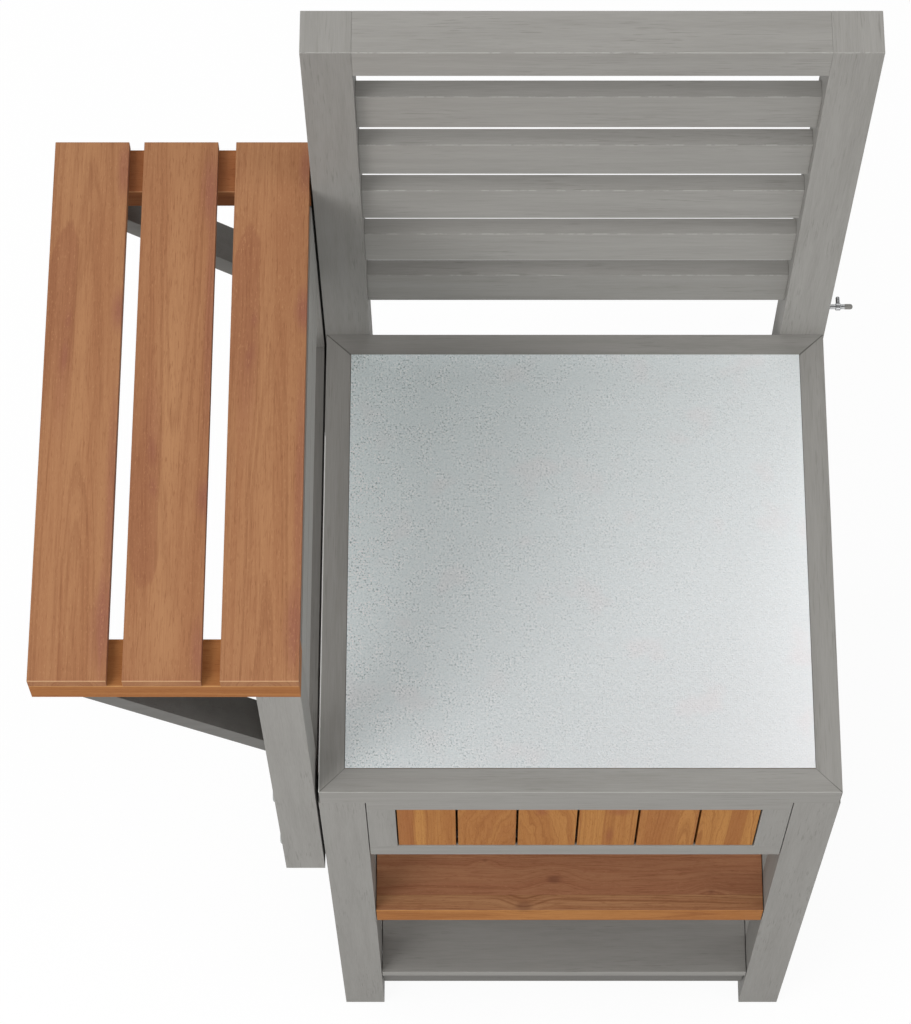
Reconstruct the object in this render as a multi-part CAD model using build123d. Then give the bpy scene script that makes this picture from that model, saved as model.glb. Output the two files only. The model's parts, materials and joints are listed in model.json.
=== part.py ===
from build123d import *
import os

# Outdoor prep table: a cabinet with a metal worktop, a drawer and two shelves,
# a slatted screen behind the worktop, and a raised slatted shelf bolted to its left side.
# All sizes are millimetres. While the pieces are made, x = 0 is the middle of the cabinet,
# y = 0 is its front face and z = 0 is the floor. The front faces -Y.

# Cabinet frame
cabinet_width = 570.6
leg_width = 50.6
leg_depth = 49.0
rear_post_depth = 47.6
apron_thickness = 20.0
edge_round = 0.5

# Worktop
top_height = 900.0
top_depth = 549.0
top_side_inset = 1.3
top_thickness = 37.0
top_side_rail_width = 28.0
top_front_rail_width = 27.5
top_back_rail_width = 25.0
top_ledge_width = 12.0
top_board_thickness = 15.0
sheet_thickness = 1.2
sheet_rise = 0.8
sheet_clearance = 0.3
mitre_round = 0.4

# Drawer
drawer_front_height = 191.9
drawer_front_thickness = 20.0
drawer_clearance = 1.0
drawer_top_clearance = 0.5
drawer_top_rail_height = 24.7
drawer_bottom_rail_height = 32.3
drawer_stile_width = 31.5
front_board_count = 6
front_board_gap = 2.5
front_board_recess = 1.5
front_board_thickness = 13.0
front_board_end_gap = 1.5
tongue_length = 7.0
tongue_thickness = 6.0
groove_clearance = 0.2
drawer_back_gap = 49.0
drawer_box_drop = 12.0
drawer_side_thickness = 14.0
drawer_back_thickness = 12.0
drawer_back_drop = 15.0
drawer_bottom_thickness = 6.0
drawer_bottom_raise = 5.0
runner_height = 14.0
runner_width = 20.0
runner_raise = 5.0
runner_front_gap = 2.0
runner_clearance = 0.3

# Shelves
mid_shelf_height = 438.5
mid_shelf_thickness = 18.5
mid_shelf_front_height = 42.0
mid_shelf_front_thickness = 20.0
lower_shelf_height = 152.7
lower_shelf_thickness = 17.4
lower_rail_height = 57.2
lower_rail_thickness = 18.0
lower_rail_setback = 8.0
shelf_end_gap = 1.0
shelf_back_inset = 10.0
bearer_thickness = 22.0
bearer_height = 23.5
bearer_ledge = 12.0

# Screen
screen_rise = 633.0
screen_rail_height = 44.7
screen_slat_count = 5
screen_slat_height = 62.3
screen_slat_thickness = 19.2
screen_slat_setback = 13.0
screen_bottom_gap = 63.0
screen_top_gap = 64.3

# Raised side shelf
side_gap = 2.7
side_shelf_rise = 354.3
side_back_overhang = 7.5
slat_back_overhang = 1.8
shelf_slat_width = 78.1
outer_slat_gap = 15.7
inner_slat_gap = 18.8
shelf_slat_thickness = 14.3
batten_height = 31.4
side_post_width = 45.0
side_post_depth = 50.0
side_post_length = 592.0
side_rail_height = 76.7
side_rail_thickness = 20.0
side_rail_gap = 6.0
side_lower_rail_height = 40.0
side_lower_rail_drop = 40.0
brace_reach = 210.5
brace_drop = 203.6
brace_height = 33.0
brace_depth = 42.7
brace_setback = 11.4

# Bolts and spacers between the side posts and the cabinet
bolt_diameter = 8.0
bolt_clearance = 0.3
bolt_head_diameter = 18.0
bolt_head_height = 5.0
bolt_grip = 38.0
bolt_end_margin = 45.0
spacer_diameter = 20.0

# Utensil hook
hook_arm_diameter = 5.6
hook_reach = 31.1
hook_embed = 25.0
hook_rise = 24.0
hook_fit = 0.1
hook_cap_diameter = 6.2
hook_cap_length = 9.0
hook_peg_diameter = 4.6
hook_peg_offset = 14.4
hook_peg_reach = 12.6
hook_collar_diameter = 8.6
hook_collar_length = 5.5

# Places worked out from the sizes above
half_width = cabinet_width / 2
inner_half = half_width - leg_width
frame_underside = top_height - top_thickness
cabinet_back = top_depth + rear_post_depth
back_apron_front = top_depth - apron_thickness
post_top = top_height + screen_rise
drawer_top = frame_underside - drawer_top_clearance
drawer_underside = drawer_top - drawer_front_height
runner_low = drawer_underside + runner_raise
runner_top = runner_low + runner_height
side_shelf_height = top_height + side_shelf_rise
side_shelf_length = cabinet_back + side_back_overhang
side_right = -half_width - side_gap
inner_slat_left = side_right - shelf_slat_width
middle_slat_left = inner_slat_left - inner_slat_gap - shelf_slat_width
side_left = middle_slat_left - outer_slat_gap - shelf_slat_width
slat_underside = side_shelf_height - shelf_slat_thickness
side_post_top = slat_underside - batten_height
side_post_bottom = side_post_top - side_post_length
side_frame_back = side_shelf_length - slat_back_overhang
rear_side_post_front = side_frame_back - side_post_depth
bolt_reach = side_gap + bolt_grip
rear_bolt_y = (rear_side_post_front + cabinet_back) / 2
front_bolt_y = min(leg_depth, side_post_depth) / 2
low_bolt_z = side_post_bottom + bolt_end_margin
front_high_bolt_z = frame_underside - bolt_end_margin
rear_high_bolt_z = side_post_top - bolt_end_margin
front_bolts = [(front_bolt_y, low_bolt_z), (front_bolt_y, front_high_bolt_z)]
rear_bolts = [(rear_bolt_y, low_bolt_z), (rear_bolt_y, rear_high_bolt_z)]
hook_y = top_depth + rear_post_depth / 2
hook_z = top_height + hook_rise

# The origin goes to the middle of the whole object's box, on the floor
origin = Vector(
    (side_left + half_width + hook_reach) / 2,
    side_shelf_length / 2,
    0,
)


def block(x_range, y_range, z_range, rounding=edge_round):
    """A rectangular piece between three pairs of limits; its edges are eased unless rounding is 0."""
    size = [high - low for low, high in (x_range, y_range, z_range)]
    middle = [(low + high) / 2 for low, high in (x_range, y_range, z_range)]
    solid = Pos(*middle) * Box(*size)
    radius = min(rounding, 0.3 * min(size))
    return fillet(solid.edges(), radius) if radius > 0 else solid


def mirrored(solid):
    """The same piece on the other side of the cabinet's middle."""
    return mirror(solid, about=Plane.YZ)


def rod_along_x(start, length, y, z, diameter):
    """A round bar that runs along +X from its start."""
    return Pos(start + length / 2, y, z) * Rot(0, 90, 0) * Cylinder(diameter / 2, length)


def bolt_holes(places, start, length):
    """Clearance holes along X for the bolts at the given (y, z) places."""
    diameter = bolt_diameter + 2 * bolt_clearance
    return [rod_along_x(start, length, y, z, diameter) for y, z in places]


def legs_and_posts():
    leg_right = block((inner_half, half_width), (0, leg_depth), (0, frame_underside))
    post_right = block((inner_half, half_width), (top_depth, cabinet_back), (0, post_top))
    hole_start = -half_width - bolt_clearance
    hole_length = bolt_grip + 2 * bolt_clearance
    leg_left = mirrored(leg_right) - bolt_holes(front_bolts, hole_start, hole_length)
    post_left = mirrored(post_right) - bolt_holes(rear_bolts, hole_start, hole_length)
    hook_hole_length = hook_embed + 2 * hook_fit
    hook_hole = rod_along_x(
        half_width - hook_embed - hook_fit, hook_hole_length, hook_y, hook_z,
        hook_arm_diameter + 2 * hook_fit,
    )
    return {
        "front_leg_left": leg_left,
        "front_leg_right": leg_right,
        "rear_post_left": post_left,
        "rear_post_right": post_right - hook_hole,
    }


def aprons():
    z_range = (drawer_underside, frame_underside)
    apron_right = block((inner_half, inner_half + apron_thickness), (leg_depth, top_depth), z_range)
    back = block((-inner_half, inner_half), (back_apron_front, top_depth), z_range)
    return {
        "side_apron_left": mirrored(apron_right),
        "side_apron_right": apron_right,
        "back_apron": back,
    }


def mitred_rail(outer, inner, ledge, first, second):
    """One worktop frame rail: a mitred bar on a wider mitred ledge that carries the top board.

    outer, inner and ledge are the corner points of the frame's outline, opening and ledge.
    """
    ledge_top = top_height + sheet_rise - sheet_thickness - top_board_thickness
    layers = []
    for edge, low, high in ((inner, ledge_top, top_height), (ledge, frame_underside, ledge_top)):
        corners = [outer[first], outer[second], edge[second], edge[first]]
        outline = Plane.XY.offset(low) * make_face(Polyline(*corners, close=True))
        layers.append(extrude(outline, high - low))
    rail = layers[0] + layers[1]
    top_edges = rail.faces().sort_by(Axis.Z)[-1].edges()
    return fillet(top_edges, mitre_round)


def rectangle_corners(x_half, y_low, y_high):
    return [(-x_half, y_low), (x_half, y_low), (x_half, y_high), (-x_half, y_high)]


def worktop():
    outer_half = half_width - top_side_inset
    opening_half = outer_half - top_side_rail_width
    opening_front = top_front_rail_width
    opening_back = top_depth - top_back_rail_width
    outer = rectangle_corners(outer_half, 0, top_depth)
    inner = rectangle_corners(opening_half, opening_front, opening_back)
    ledge = rectangle_corners(
        opening_half - top_ledge_width, opening_front + top_ledge_width, opening_back - top_ledge_width
    )
    sides = ("front", "right", "back", "left")
    pieces = {}
    for number, side in enumerate(sides):
        following = (number + 1) % len(sides)
        pieces["top_rail_" + side] = mitred_rail(outer, inner, ledge, number, following)
    x_range = (sheet_clearance - opening_half, opening_half - sheet_clearance)
    y_range = (opening_front + sheet_clearance, opening_back - sheet_clearance)
    sheet_top = top_height + sheet_rise
    board_top = sheet_top - sheet_thickness
    pieces["worktop_sheet"] = block(x_range, y_range, (board_top, sheet_top))
    pieces["worktop_board"] = block(x_range, y_range, (board_top - top_board_thickness, board_top))
    return pieces


def drawer_front():
    front_half = inner_half - drawer_clearance
    opening_half = front_half - drawer_stile_width
    y_range = (0, drawer_front_thickness)
    opening_low = drawer_underside + drawer_bottom_rail_height
    opening_high = drawer_top - drawer_top_rail_height
    tongue_middle = front_board_recess + front_board_thickness / 2
    tongue_y = (tongue_middle - tongue_thickness / 2, tongue_middle + tongue_thickness / 2)
    groove = block(
        (-opening_half, opening_half),
        (tongue_y[0] - groove_clearance, tongue_y[1] + groove_clearance),
        (opening_low - tongue_length, opening_high + tongue_length),
        0,
    )
    stile_right = block((opening_half, front_half), y_range, (opening_low, opening_high))
    top_rail = block((-front_half, front_half), y_range, (opening_high, drawer_top))
    bottom_rail = block((-front_half, front_half), y_range, (drawer_underside, opening_low))
    pieces = {
        "drawer_top_rail": top_rail - groove,
        "drawer_bottom_rail": bottom_rail - groove,
        "drawer_stile_left": mirrored(stile_right),
        "drawer_stile_right": stile_right,
    }
    pitch = (2 * opening_half + front_board_gap - 2 * front_board_end_gap) / front_board_count
    board_y = (front_board_recess, front_board_recess + front_board_thickness)
    tongue_z = (opening_low - tongue_length, opening_high + tongue_length - groove_clearance)
    for number in range(front_board_count):
        left = front_board_end_gap - opening_half + number * pitch
        board_x = (left, left + pitch - front_board_gap)
        face = block(board_x, board_y, (opening_low, opening_high), 0)
        front_edges = face.faces().sort_by(Axis.Y)[0].edges()
        board = fillet(front_edges.filter_by(Axis.Z), min(edge_round, 0.3 * front_board_thickness))
        pieces["front_board_" + str(number + 1)] = board + block(board_x, tongue_y, tongue_z, 0)
    return pieces


def drawer_box():
    box_half = inner_half - drawer_clearance
    inside_half = box_half - drawer_side_thickness
    box_low = runner_top + runner_clearance
    box_high = drawer_top - drawer_box_drop
    box_front = drawer_front_thickness
    box_back = back_apron_front - drawer_back_gap
    bottom_low = box_low + drawer_bottom_raise
    bottom_high = bottom_low + drawer_bottom_thickness
    wall_right = block((inside_half, box_half), (box_front, box_back), (box_low, box_high))
    return {
        "drawer_side_left": mirrored(wall_right),
        "drawer_side_right": wall_right,
        "drawer_back": block(
            (-inside_half, inside_half),
            (box_back - drawer_back_thickness, box_back),
            (bottom_high, box_high - drawer_back_drop),
        ),
        "drawer_bottom": block((-inside_half, inside_half), (box_front, box_back), (bottom_low, bottom_high)),
    }


def drawer_runners():
    runner_right = block(
        (inner_half - runner_width, inner_half),
        (drawer_front_thickness + runner_front_gap, back_apron_front),
        (runner_low, runner_top),
    )
    return {"drawer_runner_left": mirrored(runner_right), "drawer_runner_right": runner_right}


def shelf_bearer(shelf_top, shelf_low):
    """A right-hand side rail from leg to post, with a ledge under the shelf board."""
    y_range = (leg_depth, top_depth)
    z_low = shelf_low - bearer_height
    rail = block((inner_half, inner_half + bearer_thickness), y_range, (z_low, shelf_top))
    ledge = block((inner_half - bearer_ledge, inner_half + bearer_thickness / 2), y_range, (z_low, shelf_low))
    return rail + ledge


def shelves():
    shelf_half = inner_half - shelf_end_gap
    shelf_back = cabinet_back - shelf_back_inset
    x_range = (-shelf_half, shelf_half)
    mid_front_back = mid_shelf_front_thickness
    mid_low = mid_shelf_height - mid_shelf_thickness
    mid_front_low = mid_shelf_height - mid_shelf_front_height
    lower_low = lower_shelf_height - lower_shelf_thickness
    rail_y = (lower_rail_setback, lower_rail_setback + lower_rail_thickness)
    mid_bearer = shelf_bearer(mid_shelf_height, mid_low)
    lower_bearer = shelf_bearer(lower_shelf_height, lower_low)
    return {
        "mid_shelf_front_rail": block(x_range, (0, mid_front_back), (mid_front_low, mid_shelf_height)),
        "mid_shelf_board": block(x_range, (mid_front_back, shelf_back), (mid_low, mid_shelf_height)),
        "mid_bearer_left": mirrored(mid_bearer),
        "mid_bearer_right": mid_bearer,
        "lower_shelf_board": block(x_range, (0, shelf_back), (lower_low, lower_shelf_height)),
        "lower_shelf_rail": block(x_range, rail_y, (lower_low - lower_rail_height, lower_low)),
        "lower_bearer_left": mirrored(lower_bearer),
        "lower_bearer_right": lower_bearer,
    }


def screen():
    x_range = (-inner_half, inner_half)
    rail_low = post_top - screen_rail_height
    pieces = {"screen_top_rail": block(x_range, (top_depth, cabinet_back), (rail_low, post_top))}
    first = top_height + screen_bottom_gap
    last = rail_low - screen_top_gap - screen_slat_height
    pitch = (last - first) / (screen_slat_count - 1)
    slat_front = top_depth + screen_slat_setback
    y_range = (slat_front, slat_front + screen_slat_thickness)
    for number in range(screen_slat_count):
        low = first + number * pitch
        pieces["screen_slat_" + str(number + 1)] = block(x_range, y_range, (low, low + screen_slat_height))
    return pieces


def side_frame():
    x_range = (side_right - side_post_width, side_right)
    z_range = (side_post_bottom, side_post_top)
    rear_y = (rear_side_post_front, side_frame_back)
    hole_start = side_right - side_post_width - bolt_clearance
    hole_length = side_post_width + 2 * bolt_clearance
    front_post = block(x_range, (0, side_post_depth), z_range)
    rear_post = block(x_range, rear_y, z_range)
    between = (side_post_depth, rear_side_post_front)
    rail_x = (side_right - side_rail_thickness, side_right)
    middle_high = side_post_top - side_rail_height - side_rail_gap
    lower_high = top_height - side_lower_rail_drop
    return {
        "side_post_front": front_post - bolt_holes(front_bolts, hole_start, hole_length),
        "side_post_rear": rear_post - bolt_holes(rear_bolts, hole_start, hole_length),
        "side_rail_upper": block(rail_x, between, (side_post_top - side_rail_height, side_post_top)),
        "side_rail_middle": block(rail_x, between, (middle_high - side_rail_height, middle_high)),
        "side_rail_lower": block(x_range, between, (lower_high - side_lower_rail_height, lower_high)),
    }


def brace(y_low):
    """A slanted strut from a side post up to the underside of the batten above it."""
    post_face = side_right - side_post_width
    foot = side_post_top - brace_drop
    run_of_height = brace_height * brace_reach / brace_drop
    corners = [
        (post_face - brace_reach, side_post_top),
        (post_face, foot),
        (post_face, foot + brace_height),
        (post_face - brace_reach + run_of_height, side_post_top),
    ]
    outline = make_face(Polyline(*[(x, y_low, z) for x, z in corners], close=True))
    strut = extrude(outline, brace_depth, dir=(0, 1, 0))
    long_edges = strut.edges().filter_by(Axis.Y, reverse=True).filter_by(Axis.Z, reverse=True)
    slanted = long_edges.filter_by(Axis.X, reverse=True)
    return fillet(slanted, edge_round)


def side_shelf():
    x_range = (side_left, side_right)
    batten_z = (side_post_top, slat_underside)
    pieces = {
        "brace_front": brace(brace_setback),
        "brace_rear": brace(side_frame_back - brace_setback - brace_depth),
        "shelf_batten_front": block(x_range, (0, side_post_depth), batten_z),
        "shelf_batten_rear": block(x_range, (rear_side_post_front, side_frame_back), batten_z),
    }
    slat_y = (0, side_shelf_length)
    slat_z = (slat_underside, side_shelf_height)
    for number, left in enumerate((side_left, middle_slat_left, inner_slat_left)):
        pieces["shelf_slat_" + str(number + 1)] = block((left, left + shelf_slat_width), slat_y, slat_z)
    return pieces


def bolts_and_spacers():
    bolts = []
    spacers = []
    post_face = side_right - side_post_width
    for y, z in front_bolts + rear_bolts:
        shank = rod_along_x(post_face, side_post_width + bolt_reach, y, z, bolt_diameter)
        head = rod_along_x(post_face - bolt_head_height, bolt_head_height, y, z, bolt_head_diameter)
        rim = head.edges().filter_by(GeomType.CIRCLE).sort_by(Axis.X)[:1]
        bolts.append(shank + fillet(rim, 0.6 * bolt_head_height))
        ring = rod_along_x(side_right, side_gap, y, z, spacer_diameter)
        bore = rod_along_x(side_right, side_gap, y, z, bolt_diameter + 2 * bolt_clearance)
        spacers.append(ring - bore)
    return {"mounting_bolts": Compound(bolts), "mounting_spacers": Compound(spacers)}


def hook():
    """A rod that sticks out of the right rear post, with a cross peg on a collar and a capped end."""
    arm_start = half_width - hook_embed
    arm_end = half_width + hook_reach - hook_cap_length
    arm = rod_along_x(arm_start, arm_end - arm_start, hook_y, hook_z, hook_arm_diameter)
    cap = rod_along_x(arm_end, hook_cap_length, hook_y, hook_z, hook_cap_diameter)
    cap_tip = cap.edges().filter_by(GeomType.CIRCLE).sort_by(Axis.X)[-1:]
    peg_x = half_width + hook_peg_offset
    collar_start = peg_x - hook_collar_length / 2
    bore_diameter = hook_arm_diameter + 2 * hook_fit
    collar = rod_along_x(collar_start, hook_collar_length, hook_y, hook_z, hook_collar_diameter)
    wall = (hook_collar_diameter - bore_diameter) / 2
    collar = fillet(collar.edges().filter_by(GeomType.CIRCLE), 0.4 * wall)
    peg = Pos(peg_x, hook_y + hook_peg_reach / 2, hook_z) * Rot(90, 0, 0)
    peg = peg * Cylinder(hook_peg_diameter / 2, hook_peg_reach)
    peg_tip = peg.edges().filter_by(GeomType.CIRCLE).sort_by(Axis.Y)[-1:]
    peg = fillet(peg_tip, 0.4 * hook_peg_diameter)
    bore = rod_along_x(collar_start, hook_collar_length, hook_y, hook_z, bore_diameter)
    return {
        "hook_arm": arm,
        "hook_cap": fillet(cap_tip, 0.45 * hook_cap_diameter),
        "hook_peg": collar + peg - bore,
    }


def all_pieces():
    groups = (
        legs_and_posts, aprons, worktop, drawer_front, drawer_box, drawer_runners,
        shelves, screen, side_frame, side_shelf, bolts_and_spacers, hook,
    )
    pieces = {}
    for group in groups:
        pieces.update(group())
    return pieces


os.makedirs("parts", exist_ok=True)
for node, shape in all_pieces().items():
    export_step(Pos(-origin.X, -origin.Y, -origin.Z) * shape, "parts/" + node + ".step")
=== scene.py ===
import json
import math
from collections import namedtuple
import bpy
import numpy as np
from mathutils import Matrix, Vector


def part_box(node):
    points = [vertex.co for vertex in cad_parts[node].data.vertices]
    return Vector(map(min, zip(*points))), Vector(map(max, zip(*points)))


# Outdoor prep table: painted grey frame, teak shelves and boards, galvanised worktop.
# Everything is in metres, in the frame of the loaded model: +Z up, the front faces -Y.

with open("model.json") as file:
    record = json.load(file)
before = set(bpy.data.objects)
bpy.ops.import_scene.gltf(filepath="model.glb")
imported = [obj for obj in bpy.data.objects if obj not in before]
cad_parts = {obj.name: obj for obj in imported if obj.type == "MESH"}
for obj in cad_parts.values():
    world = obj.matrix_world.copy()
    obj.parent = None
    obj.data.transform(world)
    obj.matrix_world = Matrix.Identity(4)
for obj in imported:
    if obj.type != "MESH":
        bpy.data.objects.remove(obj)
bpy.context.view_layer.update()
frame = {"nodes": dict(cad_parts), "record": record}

X, Y, Z = range(3)
LOW, HIGH = -1, 1  # the two faces of a piece's box on one axis
MIX_FIRST, MIX_SECOND, MIX_RESULT = 6, 7, 2  # the colour sockets of a Mix node
SKIN = (0.0003, 0.0006)  # the depth over which a face's own colour fades out
WOOD_BUMP = 0.00012  # how high the grain of painted wood and teak stands


def linear(red, green, blue):
    """A display colour from 0 to 255 as linear values from 0 to 1, with alpha 1."""
    display = np.array([red, green, blue]) / 255
    value = np.where(display > 0.04045, ((display + 0.055) / 1.055) ** 2.4, display / 12.92)
    return (*[float(v) for v in value], 1.0)


WHITE = linear(255, 255, 255)


def seed_of(name):
    """A number that differs from piece to piece, so that pieces don't share their marks."""
    return sum(ord(letter) * place for place, letter in enumerate(name, 3)) % 97 * 1.37


class Value:
    """One shader socket. Arithmetic on it adds Math nodes to the finish it belongs to."""

    def __init__(self, finish, socket):
        self.finish = finish
        self.socket = socket

    def sibling(self, key):
        """Another output of the same node, by name or number."""
        return Value(self.finish, self.socket.node.outputs[key])

    def calc(self, operation, *terms):
        return self.finish.node("ShaderNodeMath", dict(enumerate(terms)), operation=operation)

    def __add__(self, other):
        return self.calc("ADD", self, other)

    def __sub__(self, other):
        return self.calc("SUBTRACT", self, other)

    def __mul__(self, other):
        return self.calc("MULTIPLY", self, other)

    def __truediv__(self, other):
        return self.calc("DIVIDE", self, other)

    def __pow__(self, other):
        return self.calc("POWER", self, other)

    def __rsub__(self, other):
        return self.calc("SUBTRACT", other, self)

    __radd__ = __add__

    def __abs__(self):
        return self.calc("ABSOLUTE", self)

    def low(self, other):
        return self.calc("MINIMUM", self, other)

    def high(self, other):
        return self.calc("MAXIMUM", self, other)

    def rise(self, start, end):
        """0 below start, 1 above end, and a smooth step between them."""
        return self.finish.node(
            "ShaderNodeMapRange",
            {"Value": self, "From Min": start, "From Max": end},
            interpolation_type="SMOOTHSTEP",
        )

    def fall(self, start, end):
        """1 below start, 0 above end, and a smooth step between them."""
        return 1 - self.rise(start, end)


class Finish:
    """A material that is being made for one piece."""

    def __init__(self, name):
        self.material = bpy.data.materials.new(name)
        self.material.use_nodes = True
        self.tree = self.material.node_tree
        self.tree.nodes.clear()

    def node(self, kind, inputs=None, out=0, **settings):
        """Adds a node: its settings first, then the values or links of its sockets. Returns one output."""
        node = self.tree.nodes.new(kind)
        for name, value in settings.items():
            setattr(node, name, value)
        for key, value in (inputs or {}).items():
            if isinstance(value, Value):
                self.tree.links.new(value.socket, node.inputs[key])
            else:
                node.inputs[key].default_value = value
        return Value(self, node.outputs[out]) if node.outputs else None

    def mix(self, factor, first, second, blend="MIX"):
        """A colour between first and second, by a factor from 0 to 1."""
        inputs = {"Factor": factor, MIX_FIRST: first, MIX_SECOND: second}
        return self.node("ShaderNodeMix", inputs, out=MIX_RESULT, data_type="RGBA", blend_type=blend)

    def times(self, color, factors):
        """A colour with each channel multiplied by its factor."""
        return self.mix(1.0, color, (*factors, 1.0), "MULTIPLY")

    def face(self, color, room, factors):
        """A colour with each channel multiplied by its factor on one face alone; room is the depth under it."""
        return self.mix(room.fall(*SKIN), color, self.times(color, factors))

    def noise(self, vector, detail, roughness=0.5):
        """Fractal noise from 0 to 1 at a vector that is already in noise units."""
        return self.node(
            "ShaderNodeTexNoise", {"Vector": vector, "Scale": 1.0, "Detail": detail, "Roughness": roughness}
        )

    def vector(self, x, y, z):
        return self.node("ShaderNodeCombineXYZ", {0: x, 1: y, 2: z})

    def vector_calc(self, operation, first, second, out="Vector"):
        return self.node("ShaderNodeVectorMath", {0: first, 1: second}, out=out, operation=operation)

    def surface(self, color, roughness, bump, depth, **constants):
        """The shader of the finish. color, roughness and bump vary, and depth is how high the bumps stand."""
        normal = self.node("ShaderNodeBump", {"Height": bump, "Strength": 1.0, "Distance": depth})
        inputs = {"Base Color": color, "Roughness": roughness, "Normal": normal}
        inputs.update({name.replace("_", " "): value for name, value in constants.items()})
        self.output(self.node("ShaderNodeBsdfPrincipled", inputs))
        return self.material

    def output(self, shader):
        self.node("ShaderNodeOutputMaterial", {"Surface": shader})


class Member:
    """The place of one piece: offsets from its middle, its half sizes, and its thin, wide and grain directions."""

    def __init__(self, finish, node, grain=None):
        low, high = (np.array(corner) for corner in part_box(node))
        middle = (high + low) / 2
        self.finish = finish
        self.half = (high - low) / 2
        self.seed = seed_of(node)
        place = finish.node("ShaderNodeTexCoord", out="Object")
        split = finish.node("ShaderNodeSeparateXYZ", {0: place})
        self.offset = [split.sibling(axis) - float(middle[axis]) for axis in (X, Y, Z)]
        if grain is None:
            grain = int(np.argmax(self.half))
        across = sorted((axis for axis in (X, Y, Z) if axis != grain), key=lambda axis: self.half[axis])
        self.thin, self.wide = (self.offset[axis] for axis in across)
        self.along = self.offset[grain]

    def stretched(self, across_scale, along_scale, shift=0.0):
        """Coordinates for noise that is drawn out along the grain, in cells per metre. The seed moves each piece on."""
        return self.finish.vector(
            self.wide * across_scale + (self.seed + shift),
            self.thin * across_scale + (self.seed * 0.7 - shift),
            self.along * along_scale + self.seed * 1.9,
        )

    def room(self, axis, sign):
        """Depth under one face of the piece's box."""
        return float(self.half[axis]) - self.offset[axis] * sign

    def top_edge(self, axis, sign, start, end):
        """A line along the top edge of one face: 1 within start of the edge, 0 beyond end."""
        return self.room(axis, sign).high(self.room(Z, HIGH)).fall(start, end)


PAINT = linear(153, 151, 147)
PAINT_DEEP = linear(122, 120, 115)
PAINT_HIGHLIGHT = linear(186, 185, 180)
PAINT_LEFT_EDGE_LIGHT = linear(226, 225, 220)
PAINT_CUT = linear(84, 82, 78)
PAINT_SEAM_SHADE = linear(58, 57, 54)

# inner is the side of a worktop rail's inner edge, and slope that of the cuts at its two ends
Mitre = namedtuple("Mitre", "inner slope")
# A painted light line on the left top edge: how far back it goes from the middle, and its strength
LeftEdgeLight = namedtuple("LeftEdgeLight", "back strength")


def paint_streaks(finish, member):
    """Fine streaks, broad streaks and clusters of short dark marks, all along the grain."""
    fine = finish.noise(member.stretched(900, 36), detail=3, roughness=0.6)
    broad = finish.noise(member.stretched(90, 5, 4.1), detail=3, roughness=0.55)
    cluster = finish.noise(member.stretched(30, 7, 8.4), detail=2).rise(0.45, 0.62)
    marks = finish.noise(member.stretched(560, 30, 9.3), detail=2).rise(0.58, 0.68) * cluster
    return fine, broad, marks


def mitre_lines(finish, member, color, mitre, seam):
    """Dark lines along the cuts at the two ends, and a dark joint line with painted shade along the inner edge by the
    strength of seam.
    """
    length, width = (X, Y) if member.half[X] > member.half[Y] else (Y, X)
    from_end = float(member.half[length]) - abs(member.offset[length])
    from_outside = float(member.half[width]) + member.offset[width] * mitre.inner
    cut = abs(from_end - from_outside * mitre.slope)
    color = finish.mix(cut.fall(0.0004, 0.0010) * 0.7, color, PAINT_CUT)
    # Dark joint line with painted shade in the gap where the sheet meets the rail
    return finish.mix(member.room(width, mitre.inner).fall(0.0005, 0.0012) * seam, color, PAINT_SEAM_SHADE)


def grey_paint(
    node, grain=None, tone=1.0, front=1.0, right=1.0, arris=0.0, cap=False, rubbed=None, mitre=None, seam=0.0
):
    """Thin satin paint over wood: faint streaks and short dark marks along the grain.

    tone is how light the piece is beside the others, partly its own tone and partly painted shade and light, and front
    and right make those faces lighter or darker with painted light and shade.
    arris is the strength of a painted highlight, broken in places, along the front top edge. cap draws the top face's
    streaks from front to back.
    """
    finish = Finish("paint_" + node)
    member = Member(finish, node, grain)
    fine, broad, marks = paint_streaks(finish, member)
    if cap:
        top = member.room(Z, HIGH).fall(0.0005, 0.0010)
        cap_streaks = paint_streaks(finish, Member(finish, node, Y))
        fine, broad, marks = (own + (turned - own) * top for own, turned in zip((fine, broad, marks), cap_streaks))
    tint = (fine - 0.5) * 0.5 + (broad - 0.5) * 0.5
    color = finish.mix((0.32 - tint).rise(0.0, 1.0), PAINT, PAINT_DEEP)
    color = finish.mix(marks * 0.5, color, PAINT_DEEP)
    if mitre is not None:
        color = mitre_lines(finish, member, color, mitre, seam)
    # Painted highlight along the front top edge, broken in places
    if arris > 0:
        more = arris * 0.4
        highlight_breaks = finish.noise(member.stretched(90, 60, 2.2), detail=3, roughness=0.7).rise(0.62 - more, 0.74 - more)
        color = finish.mix(member.top_edge(Y, LOW, 0.0004, 0.0011) * highlight_breaks * 0.42, color, PAINT_HIGHLIGHT)
    # Painted light: a bright line along the left top edge, towards the front
    if rubbed is not None:
        line = member.top_edge(X, LOW, 0.0005, 0.0013) * member.offset[Y].fall(rubbed.back - 0.004, rubbed.back)
        color = finish.mix(line * rubbed.strength, color, PAINT_LEFT_EDGE_LIGHT)
    # Painted light and shade: the front and right faces made lighter or darker
    for axis, sign, light in ((Y, LOW, front), (X, HIGH, right)):
        if light != 1:
            color = finish.face(color, member.room(axis, sign), (light, light, light))
    # tone: partly the piece's own tone, partly painted shade and light
    if tone != 1:
        color = finish.times(color, (tone, tone, tone))
    roughness = 0.52 + (fine - 0.5) * 0.15
    height = fine * 0.5 - marks * 0.5
    return finish.surface(color, roughness, height, WOOD_BUMP, Specular_IOR_Level=0.03)


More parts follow.
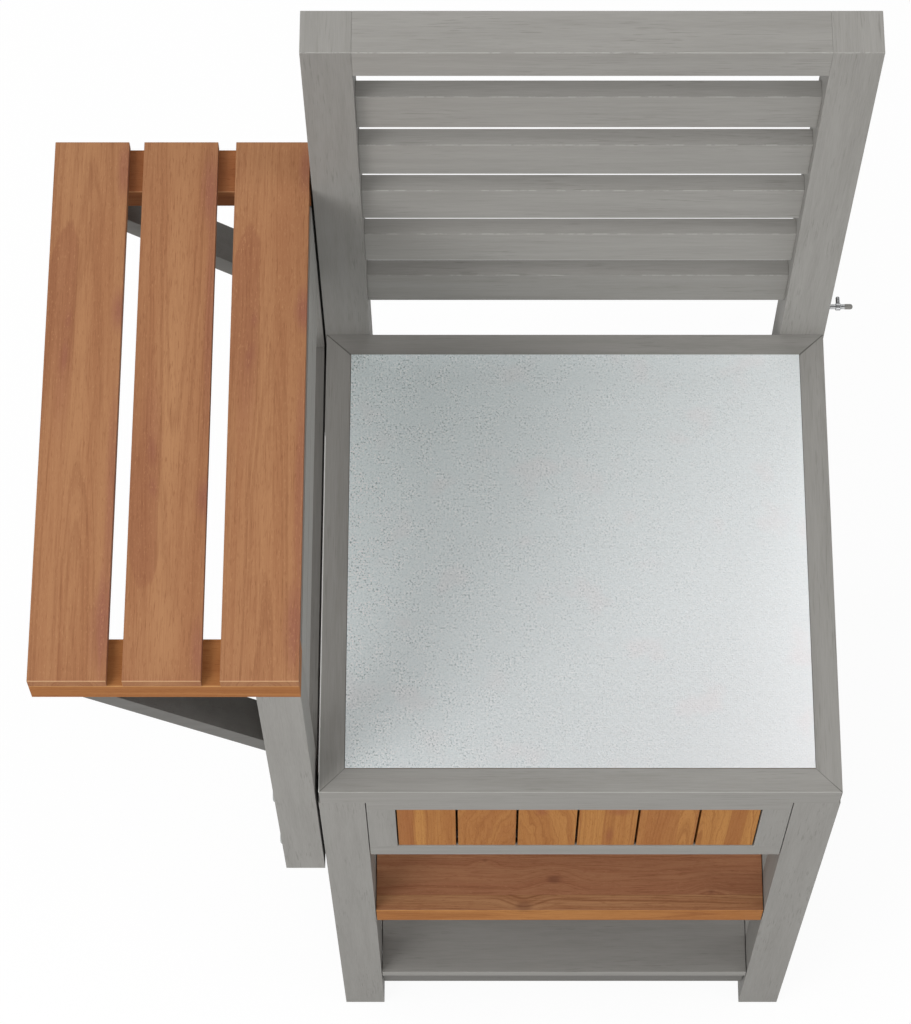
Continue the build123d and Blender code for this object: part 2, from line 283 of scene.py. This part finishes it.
TEAK = linear(156, 109, 77)
TEAK_DARK = linear(126, 80, 56)
TEAK_RED = linear(141, 90, 75)
TEAK_MAUVE = linear(142, 92, 76)
TEAK_BROWN = linear(145, 97, 71)
TEAK_GOLD = linear(174, 129, 92)
TEAK_KNOT = linear(97, 62, 50)
TEAK_EDGE_HIGHLIGHT = linear(206, 170, 132)

# The marks of a teak board, in metres from its middle, along and across its grain
Pith = namedtuple("Pith", "side depth tilt")
Knot = namedtuple("Knot", "along across thin size")
Patch = namedtuple("Patch", "along across half_length half_width slant color strength")
Flame = namedtuple("Flame", "tip tail right_edge color strength")
Band = namedtuple("Band", "low high color strength")


class Figure:
    """Where a teak board's marks lie. Two noises, a slow drift and a quick ripple, bend their outlines."""

    def __init__(self, finish, member, flip):
        self.along = member.along * flip
        self.across = member.wide
        self.thin = member.thin
        slow = finish.vector(self.across * 22, member.seed, self.along * 3.2)
        quick = finish.vector(self.across * 90, member.seed + 5, self.along * 14)
        self.drift = finish.noise(slow, detail=2) - 0.5
        self.ripple = finish.noise(quick, detail=2) - 0.5

    def ring_radius(self, pith, sway):
        """Distance from the pith, a line that comes nearer by its tilt along the board, so a tilt draws arches."""
        under = self.thin + pith.depth + self.along * pith.tilt
        beside = self.across - pith.side
        return (beside * beside + under * under) ** 0.5 + self.drift * sway + self.ripple * (sway * 0.25)

    def knot_reach(self, knot):
        """Distance from a knot, in knot sizes. A knot is longer along the grain."""
        dx = self.along - knot.along
        dy = self.across - knot.across
        dz = self.thin - knot.thin
        return (dx * dx * 0.4 + dy * dy + dz * dz) ** 0.5 / knot.size

    def patch_reach(self, patch):
        """Distance from a patch's middle, as a share of its half sizes."""
        run = self.along - patch.along
        dx = run / patch.half_length
        dy = (self.across - patch.across - run * patch.slant) / patch.half_width
        return (dx * dx + dy * dy) ** 0.5 + self.drift * 0.7 + self.ripple * 0.5

    def flame(self, flame):
        """A tongue with a rounded tip and a sharp right edge: its inside, and the line along that edge."""
        edge = flame.right_edge
        place = self.across + self.drift * 0.010 + self.ripple * 0.004
        beside = place - (edge - 0.011)
        point = self.along + beside * beside * 150 + self.ripple * 0.02
        before_tip = point.fall(flame.tip - 0.006, flame.tip + 0.003)
        reach = before_tip * self.along.rise(flame.tail - 0.08, flame.tail + 0.04)
        inside = place.fall(edge - 0.0012, edge + 0.0006) * reach
        return inside, abs(place - edge).fall(0.0003, 0.0011) * reach

    def band(self, band):
        """A stripe along the whole board."""
        place = self.across + self.drift * 0.006 + self.ripple * 0.001
        return place.rise(band.low - 0.0008, band.low + 0.0012) * place.fall(band.high - 0.0012, band.high + 0.0008)


def teak(
    node, grain=None, warm=None, front=False, figure=1.0, streak=1.0, speckle=0.45, arris=0.5, tint=0.0, flip=1,
    pith=Pith(0.0, 0.03, 0.0), sway=0.010, patches=(), flames=(), bands=(), knots=(),
):
    """Oiled teak: growth rings round the pith, red and golden patches, short dark pores, and knots.

    warm multiplies the colour's channels, on the front face alone when front is set. It is partly the wood's own warmth
    and partly painted light, for faces that catch less sheen. figure is the strength of the rings, streak that of the
    dark streaks, speckle that of the light flecks and tint that of a red cast. arris is the strength of a painted
    highlight along the front top edge. flip turns the figure end for end, and sway is how far the rings waver.
    """
    finish = Finish("teak_" + node)
    member = Member(finish, node, grain)
    marks = Figure(finish, member, flip)
    radius = marks.ring_radius(pith, sway)
    spots = []
    for knot in knots:
        reach = marks.knot_reach(knot)
        radius = radius + reach.fall(0.0, 4.5) * (knot.size * 1.6)
        spots.append((reach + marks.ripple * 1.6 + marks.drift * 0.8).fall(0.1, 1.1))
    rings = finish.noise(finish.vector(radius * 420, member.seed, marks.along * 1.5), detail=2, roughness=0.6)
    broad = finish.noise(finish.vector(radius * 75, member.seed * 2.1, marks.along * 2.0), detail=2)
    streaks = finish.noise(member.stretched(800, 20, 1.7), detail=3, roughness=0.6)
    pores = finish.noise(member.stretched(1150, 95, 7.7), detail=1).rise(0.60, 0.70)
    flecks = finish.noise(member.stretched(1000, 260, 3.9), detail=1).rise(0.58, 0.72)
    color = finish.mix((broad.rise(0.35, 0.7) * (0.55 * figure)).low(1.0), TEAK, TEAK_GOLD)
    color = finish.mix(tint, color, TEAK_RED)
    for patch in patches:
        shape = marks.patch_reach(patch) + (streaks - 0.5) * 0.9
        color = finish.mix(shape.fall(0.1, 1.15) * patch.strength, color, patch.color)
    for flame in flames:
        inside, line = marks.flame(flame)
        color = finish.mix(inside * flame.strength, color, flame.color)
        color = finish.mix(line * 0.3, color, TEAK_DARK)
    for band in bands:
        color = finish.mix(marks.band(band) * band.strength, color, band.color)
    color = finish.mix(rings.rise(0.42, 0.76) * (0.46 * figure), color, TEAK_DARK)
    color = finish.mix(streaks.rise(0.50, 0.78) * (0.42 * streak), color, TEAK_DARK)
    color = finish.mix(flecks * streaks.fall(0.40, 0.62) * speckle, color, TEAK_GOLD)
    color = finish.mix(pores * 0.40, color, TEAK_DARK)
    for spot in spots:
        color = finish.mix(spot * 0.42, color, TEAK_KNOT)
    # Painted highlight along the front top edge
    color = finish.mix(member.top_edge(Y, LOW, 0.0006, 0.0012) * arris, color, TEAK_EDGE_HIGHLIGHT)
    # warm: partly the wood's own warmth, partly painted light for faces that catch less sheen
    if warm is not None and front:
        color = finish.face(color, member.room(Y, LOW), warm)
    elif warm is not None:
        color = finish.times(color, warm)
    roughness = 0.5 + (streaks - 0.5) * 0.15 + pores * 0.1
    height = streaks * 0.4 - pores * 0.5 - rings * 0.2
    return finish.surface(color, roughness, height, WOOD_BUMP, Specular_IOR_Level=0.01)


BARE_WOOD = linear(206, 178, 136)
BARE_WOOD_DARK = linear(178, 146, 104)
BARE_WOOD_LINE = linear(140, 108, 72)


def plain_wood(node, grain=None):
    """Bare pale wood of the drawer box: soft streaks along the grain and a few darker lines."""
    finish = Finish("plain_" + node)
    member = Member(finish, node, grain)
    streaks = finish.noise(member.stretched(300, 9), detail=4, roughness=0.6)
    lines = finish.noise(member.stretched(900, 25, 3.0), detail=2).rise(0.55, 0.7)
    color = finish.mix(streaks.rise(0.3, 0.75), BARE_WOOD, BARE_WOOD_DARK)
    color = finish.mix(lines * 0.35, color, BARE_WOOD_LINE)
    return finish.surface(color, 0.6 + (streaks - 0.5) * 0.2, streaks - lines * 0.4, 0.0002)


ZINC = linear(232, 238, 239)
ZINC_COOL = linear(224, 232, 234)
ZINC_WARM = linear(236, 230, 231)
ZINC_DARK = linear(120, 138, 141)
ZINC_RIM = linear(96, 98, 98)


def galvanised(node):
    """Zinc-coated sheet: small crystals, each tilted its own way, with clustered dark flecks and white flecks that are
    painted glints.

    The height inside a crystal is its random slope times the way from its middle. The flecks are strongest at the
    back left corner and fade towards the front right one, a painted stand-in for how the light shows them. Painted
    shade and light make the sheet duller along the front and back edges and brighter along the left and right ones,
    and the patina makes it bluer towards the back left. The cut edge below the top face is dull.
    """
    finish = Finish("zinc_sheet_" + node)
    member = Member(finish, node)
    x, y = member.offset[X], member.offset[Y]

    def layer(scale, seed, **detail):
        return finish.noise(finish.vector(x * scale, y * scale, seed), **detail)

    place = finish.vector(x * 480, y * 480, 0.0)
    crystal = finish.node("ShaderNodeTexVoronoi", {"Vector": place, "Scale": 1.0}, out="Color")
    from_middle = finish.vector_calc("SUBTRACT", place, crystal.sibling("Position"))
    slope = finish.vector_calc("SUBTRACT", crystal, (0.5, 0.5, 0.5))
    facet = finish.vector_calc("DOT_PRODUCT", from_middle, slope, out="Value")
    shade = finish.node("ShaderNodeSeparateColor", {0: crystal})
    spots = layer(460, 3.0, detail=1.5, roughness=0.55)
    glints = layer(460, 9.0, detail=1.5, roughness=0.55)
    cluster = layer(44, 7.0, detail=3, roughness=0.6).rise(0.36, 0.62)
    cloud = layer(15, 5.0, detail=2)
    # Painted light: the flecks show strongest where the sheet lies in shade at the back left
    strength = (0.54 - x * 1.7 + y * 0.45).high(0.10)
    dark = spots.rise(0.52, 0.66) * (cluster * 0.75 + 0.25) * strength
    # Painted glints: white flecks
    light = glints.rise(0.50, 0.62) * (cluster * 0.6 + 0.4) * strength
    color = finish.mix(shade * 0.5, ZINC, ZINC_COOL)
    color = finish.mix(cloud.rise(0.56, 0.70) * 0.35, color, ZINC_WARM)
    color = finish.mix(dark * 0.72, color, ZINC_DARK)
    color = finish.mix(light, color, WHITE)
    # shade_and_patina: painted shade and light across the sheet, darker where the flecks are strong; red makes the
    # patina bluer towards the back left
    shade_and_patina = 0.970 - strength * 0.042 + x * x * 2.43 - y * y * 1.31 - x * 0.041 + y * 0.030 + x * y * 0.035
    red = shade_and_patina * (1.005 + x * 0.112 - y * 0.075)
    color = finish.vector_calc("MULTIPLY", color, finish.vector(red, shade_and_patina, shade_and_patina))
    color = finish.vector_calc("MINIMUM", color, (1.0, 1.0, 1.0))
    rim = member.room(Z, HIGH).rise(0.0001, 0.0003)
    color = finish.mix(rim, color, ZINC_RIM)
    roughness = 0.5 + (shade - 0.5) * 0.12
    return finish.surface(color, roughness, facet * 0.8, 0.0004, Metallic=0.35)


def satin_steel(node):
    """Drawn steel rod: faint rings along it and slightly uneven gloss."""
    finish = Finish("steel_" + node)
    member = Member(finish, node)
    drawn = finish.noise(member.stretched(300, 2600), detail=2)
    color = finish.mix(drawn.rise(0.3, 0.7), linear(150, 151, 152), linear(178, 179, 180))
    return finish.surface(color, 0.26 + drawn * 0.12, drawn, 0.00002, Metallic=1.0)


def grey_plastic(node):
    """Moulded grey cap: fine matt texture, slightly uneven gloss."""
    finish = Finish("cap_" + node)
    member = Member(finish, node)
    fine = finish.noise(member.stretched(1800, 1800), detail=2)
    color = finish.mix(fine, linear(122, 120, 116), linear(138, 136, 132))
    return finish.surface(color, 0.5 + (fine - 0.5) * 0.2, fine, 0.00005)


def zinc_bolt(node):
    """Dull plated bolts: cloudy passivated zinc with uneven gloss."""
    finish = Finish("bolt_" + node)
    member = Member(finish, node)
    cloud = finish.noise(member.stretched(500, 500), detail=3)
    color = finish.mix(cloud, linear(150, 152, 152), linear(196, 197, 194))
    return finish.surface(color, 0.3 + cloud * 0.25, cloud, 0.00004, Metallic=1.0)


def black_rubber(node):
    """Matt black spacer with a fine moulded texture."""
    finish = Finish("rubber_" + node)
    member = Member(finish, node)
    fine = finish.noise(member.stretched(1500, 1500), detail=2)
    color = finish.mix(fine, linear(20, 20, 20), linear(36, 36, 35))
    return finish.surface(color, 0.75 + (fine - 0.5) * 0.2, fine, 0.0001)


FINISHES = {
    "grey_paint": grey_paint,
    "teak": teak,
    "plain_wood": plain_wood,
    "galvanised_sheet": galvanised,
    "polished_steel": satin_steel,
    "grey_plastic": grey_plastic,
    "zinc_bolt": zinc_bolt,
    "black_rubber": black_rubber,
}

# The raised shelf's slats: a brown flame left of the middle, mauve along the right edge, gold between
SHELF_SLAT = {
    "figure": 0.85,
    "streak": 1.2,
    "speckle": 0.6,
    "pith": Pith(0.004, 0.016, 0.03),
    "patches": (
        Patch(0.00, -0.002, 0.36, 0.016, -0.012, TEAK_GOLD, 0.55),
        Patch(0.265, -0.012, 0.075, 0.035, 0.0, TEAK_GOLD, 0.4),
        Patch(0.03, -0.020, 0.09, 0.012, 0.02, TEAK_RED, 0.25),
        Patch(0.094, -0.0155, 0.014, 0.005, 0.1, TEAK_MAUVE, 0.8),
        Patch(0.054, -0.018, 0.022, 0.006, 0.1, TEAK_MAUVE, 0.8),
        Patch(0.105, 0.036, 0.030, 0.010, 0.0, TEAK_MAUVE, 0.8),
        Patch(-0.245, 0.033, 0.060, 0.012, 0.0, TEAK_MAUVE, 0.75),
        Patch(0.27, 0.035, 0.040, 0.009, 0.0, TEAK_MAUVE, 0.6),
        Patch(-0.10, 0.036, 0.16, 0.007, 0.0, TEAK_RED, 0.5),
    ),
    "flames": (Flame(0.205, 0.05, -0.010, TEAK_BROWN, 0.6),),
}

# The boards of the drawer's front; their warm tint is partly their own colour and partly painted light
DRAWER_BOARD = {"warm": (1.126, 1.048, 0.66), "figure": 1.25}

# What single nodes have of their own: the grain of wide boards, painted edge highlights, painted shade and light, cut
# lines and the figure of each board
OPTIONS = {
    "mid_shelf_board": {
        "grain": X,
        "warm": (1.0, 0.96, 1.03),
        "figure": 1.2,
        "streak": 2.1,
        "arris": 0.0,
        "pith": Pith(0.05, 0.09, 0.0),
        "sway": 0.03,
        "knots": (
            Knot(-0.0187, -0.2651, 0.009, 0.007),
            Knot(-0.1023, -0.2411, 0.009, 0.0035),
            Knot(0.1712, -0.2801, 0.009, 0.0045),
        ),
    },
    # warm on the front face alone: painted light, as that face catches less sheen than the top
    "mid_shelf_front_rail": {
        "warm": (1.107, 0.98, 0.64),
        "front": True,
        "figure": 1.7,
        "streak": 2.4,
        "arris": 0.15,
        "pith": Pith(0.0, 0.06, 0.02),
        "knots": (Knot(-0.0553, 0.021, -0.005, 0.006),),
    },
    # warm: partly the battens' own colour, partly painted light on faces that catch less sheen
    "shelf_batten_front": {"warm": (1.0, 0.872, 0.63)},
    "shelf_batten_rear": {"warm": (0.97, 0.81, 0.68)},
    "shelf_slat_1": SHELF_SLAT,
    "shelf_slat_2": {**SHELF_SLAT, "flip": -1},
    "shelf_slat_3": SHELF_SLAT,
    "front_board_1": {
        **DRAWER_BOARD,
        "pith": Pith(0.03, 0.01, 0.03),
        "tint": 0.15,
        "bands": (Band(-0.0131, -0.0023, TEAK_GOLD, 0.8), Band(-0.032, -0.015, TEAK_RED, 0.45)),
    },
    "front_board_2": {**DRAWER_BOARD, "pith": Pith(0.034, 0.03, 0.2), "sway": 0.05, "tint": 0.25},
    "front_board_3": {
        **DRAWER_BOARD,
        "pith": Pith(-0.036, 0.026, 0.14),
        "sway": 0.05,
        "tint": 0.1,
        "patches": (Patch(0.055, -0.006, 0.016, 0.010, 0.0, TEAK_RED, 0.8),),
        "knots": (Knot(0.012, -0.020, 0.006, 0.004),),
    },
    "front_board_4": {
        **DRAWER_BOARD,
        "pith": Pith(-0.04, 0.01, 0.05),
        "tint": 0.1,
        "bands": (Band(-0.030, -0.005, TEAK_GOLD, 0.6),),
        "patches": (
            Patch(-0.03, 0.003, 0.035, 0.006, 0.0, TEAK_MAUVE, 0.9),
            Patch(0.055, 0.012, 0.016, 0.016, 0.0, TEAK_RED, 0.7),
        ),
    },
    "front_board_5": {
        **DRAWER_BOARD,
        "pith": Pith(0.02, 0.012, 0.08),
        "tint": 0.3,
        "bands": (Band(0.012, 0.030, TEAK_GOLD, 0.5),),
    },
    "front_board_6": {
        **DRAWER_BOARD,
        "pith": Pith(-0.036, 0.02, 0.12),
        "sway": 0.04,
        "bands": (
            Band(-0.028, 0.0005, TEAK_GOLD, 0.5),
            Band(0.0005, 0.019, TEAK_BROWN, 0.8),
            Band(0.022, 0.032, TEAK_GOLD, 0.4),
        ),
    },
    # Painted shade and light: tone darkens the lower shelf, its rail and the braces under the slats, front lightens the
    # lower shelf's front face, and right lightens the left leg's right face and darkens the right face in the gap
    # beside the cabinet
    "lower_shelf_board": {"grain": X, "tone": 0.87, "front": 1.2},
    "lower_shelf_rail": {"tone": 0.6},
    "front_leg_left": {"right": 1.15},
    "side_post_rear": {"right": 0.3},
    "brace_front": {"tone": 0.55},
    "brace_rear": {"tone": 0.9},
    "drawer_bottom": {"grain": X},
    # Worktop rails: painted highlights on the front top edges, a dark joint line with painted shade along the inner
    # edges, strongest at the front, painted shade on the back rail and a painted light line on the left top edge
    "top_rail_front": {"arris": 1.0, "mitre": Mitre(HIGH, 28.0 / 27.5), "seam": 0.8},
    "top_rail_back": {"arris": 0.5, "mitre": Mitre(LOW, 28.0 / 25.0), "seam": 0.3, "tone": 0.88},
    "top_rail_left": {"mitre": Mitre(HIGH, 26.0 / 28.0), "seam": 0.6, "rubbed": LeftEdgeLight(0.150, 0.9)},
    "top_rail_right": {"mitre": Mitre(LOW, 26.0 / 28.0), "seam": 0.2},
    # Painted light on the screen rail, the right post and the upper side rails, and painted shade on the left post's
    # front face and on the lower side rail, its right face darkest in the gap
    "screen_top_rail": {"arris": 0.6, "tone": 1.03},
    "rear_post_left": {"arris": 0.5, "front": 0.89, "cap": True},
    "rear_post_right": {"arris": 0.5, "tone": 1.04, "cap": True},
    "side_rail_upper": {"tone": 1.15},
    "side_rail_middle": {"tone": 1.15},
    "side_rail_lower": {"tone": 0.88, "right": 0.25},
}
# Screen slats: painted highlights on the front top edges, screen_slat_1 darker with painted shade, the others a little
# lighter with painted light
for number in range(1, 6):
    OPTIONS["screen_slat_" + str(number)] = {"arris": 0.4, "tone": 0.94 if number == 1 else 1.02}


def dress_nodes():
    """Gives every node of the model the finish of its material slot."""
    for piece in frame["record"]["subparts"]:
        node, slot = piece["node"], piece["material_slot"]
        material = FINISHES[slot](node, **OPTIONS.get(node, {}))
        for holder in frame["nodes"][node].material_slots:
            holder.material = material


def add_object(name, data):
    """A new object of the scene."""
    holder = bpy.data.objects.new(name, data)
    bpy.context.scene.collection.objects.link(holder)
    return holder


FLOOR_REACH = 30.0  # from the middle to each side
FLOOR_SEEN = (0.95, 0.95, 0.95, 1.0)  # the colour that keeps the object's shadow
FLOOR_LIT = (0.32, 0.32, 0.32, 1.0)  # the colour that throws light back on the object
FLOOR_WHITE = 0.93  # the share of plain white where the floor is seen


def pale_floor():
    """A pale floor that shows white to the camera and keeps the object's shadow."""
    corners = np.array([[-1, -1, 0], [1, -1, 0], [1, 1, 0], [-1, 1, 0]]) * FLOOR_REACH
    mesh = bpy.data.meshes.new("floor")
    mesh.from_pydata(corners.tolist(), [], [[0, 1, 2, 3]])
    floor = add_object("floor", mesh)
    finish = Finish("floor_white")
    seen = finish.node("ShaderNodeLightPath", out="Is Camera Ray")
    seen = seen.high(seen.sibling("Is Glossy Ray")).high(seen.sibling("Is Transmission Ray"))
    pale = finish.node("ShaderNodeBsdfDiffuse", {"Color": FLOOR_SEEN})
    white = finish.node("ShaderNodeEmission", {"Color": WHITE, "Strength": 1.0})
    shown = finish.node("ShaderNodeMixShader", {0: FLOOR_WHITE, 1: pale, 2: white})
    dull = finish.node("ShaderNodeBsdfDiffuse", {"Color": FLOOR_LIT})
    finish.output(finish.node("ShaderNodeMixShader", {0: seen, 1: dull, 2: shown}))
    mesh.materials.append(finish.material)


LAMP_AIM = (0.0, 0.0, 0.9)  # the worktop
WORLD_STRENGTH = 0.35

# Name, place, width and power in watts of each soft lamp
LAMPS = (
    ("left_front", (-2.6, -2.6, 3.8), 2.0, 77.0),
    ("left", (-3.4, -0.6, 3.8), 3.0, 21.0),
    ("left_high", (-2.2, -0.3, 4.6), 2.0, 38.0),
    ("right", (3.4, -0.6, 3.8), 3.0, 58.0),
    ("front_low", (0.0, -4.0, 1.4), 3.0, 73.0),
    ("back", (0.0, 3.6, 3.8), 3.0, 50.0),
)


def lamp(name, place, size, power):
    """A square soft lamp at a place, turned towards the worktop."""
    light = bpy.data.lights.new(name, "AREA")
    light.size = size
    light.energy = power
    holder = add_object(name, light)
    x, y, z = np.array(LAMP_AIM) - np.array(place)
    holder.location = place
    holder.rotation_euler = (math.atan2(math.hypot(x, y), -z), 0.0, math.atan2(y, x) - math.pi / 2)


def studio():
    """Weak white light from all round and soft lamps, the strongest on the left in front."""
    scene = bpy.context.scene
    scene.view_settings.view_transform = "Standard"
    world = bpy.data.worlds.new("studio")
    world.use_nodes = True
    scene.world = world
    background = world.node_tree.nodes["Background"]
    background.inputs["Color"].default_value = WHITE
    background.inputs["Strength"].default_value = WORLD_STRENGTH
    for name, place, size, power in LAMPS:
        lamp(name, place, size, power)


PICTURE_HEIGHT = 1024  # pixels, the picture's longer side
FOCAL_LENGTH = 3404.44  # pixels
SIDE_SHIFT = -21.17  # pixels
SENSOR = 36.0  # millimetres, along the picture's longer side
LOOK_DOWN = 67.36  # degrees below level
EYE = (0.00774, -1.44062, 4.41882)
FAR_CLIP = 100.0


def camera():
    """The photograph's view: steeply down, looking along +Y, with a small sideways shift."""
    data = bpy.data.cameras.new("view")
    data.sensor_width = SENSOR
    data.lens = FOCAL_LENGTH / PICTURE_HEIGHT * SENSOR
    data.shift_x = SIDE_SHIFT / PICTURE_HEIGHT
    data.clip_end = FAR_CLIP
    holder = add_object("view", data)
    holder.location = EYE
    holder.rotation_euler = (math.radians(90.0 - LOOK_DOWN), 0.0, 0.0)
    bpy.context.scene.camera = holder


camera()
studio()
pale_floor()
dress_nodes()
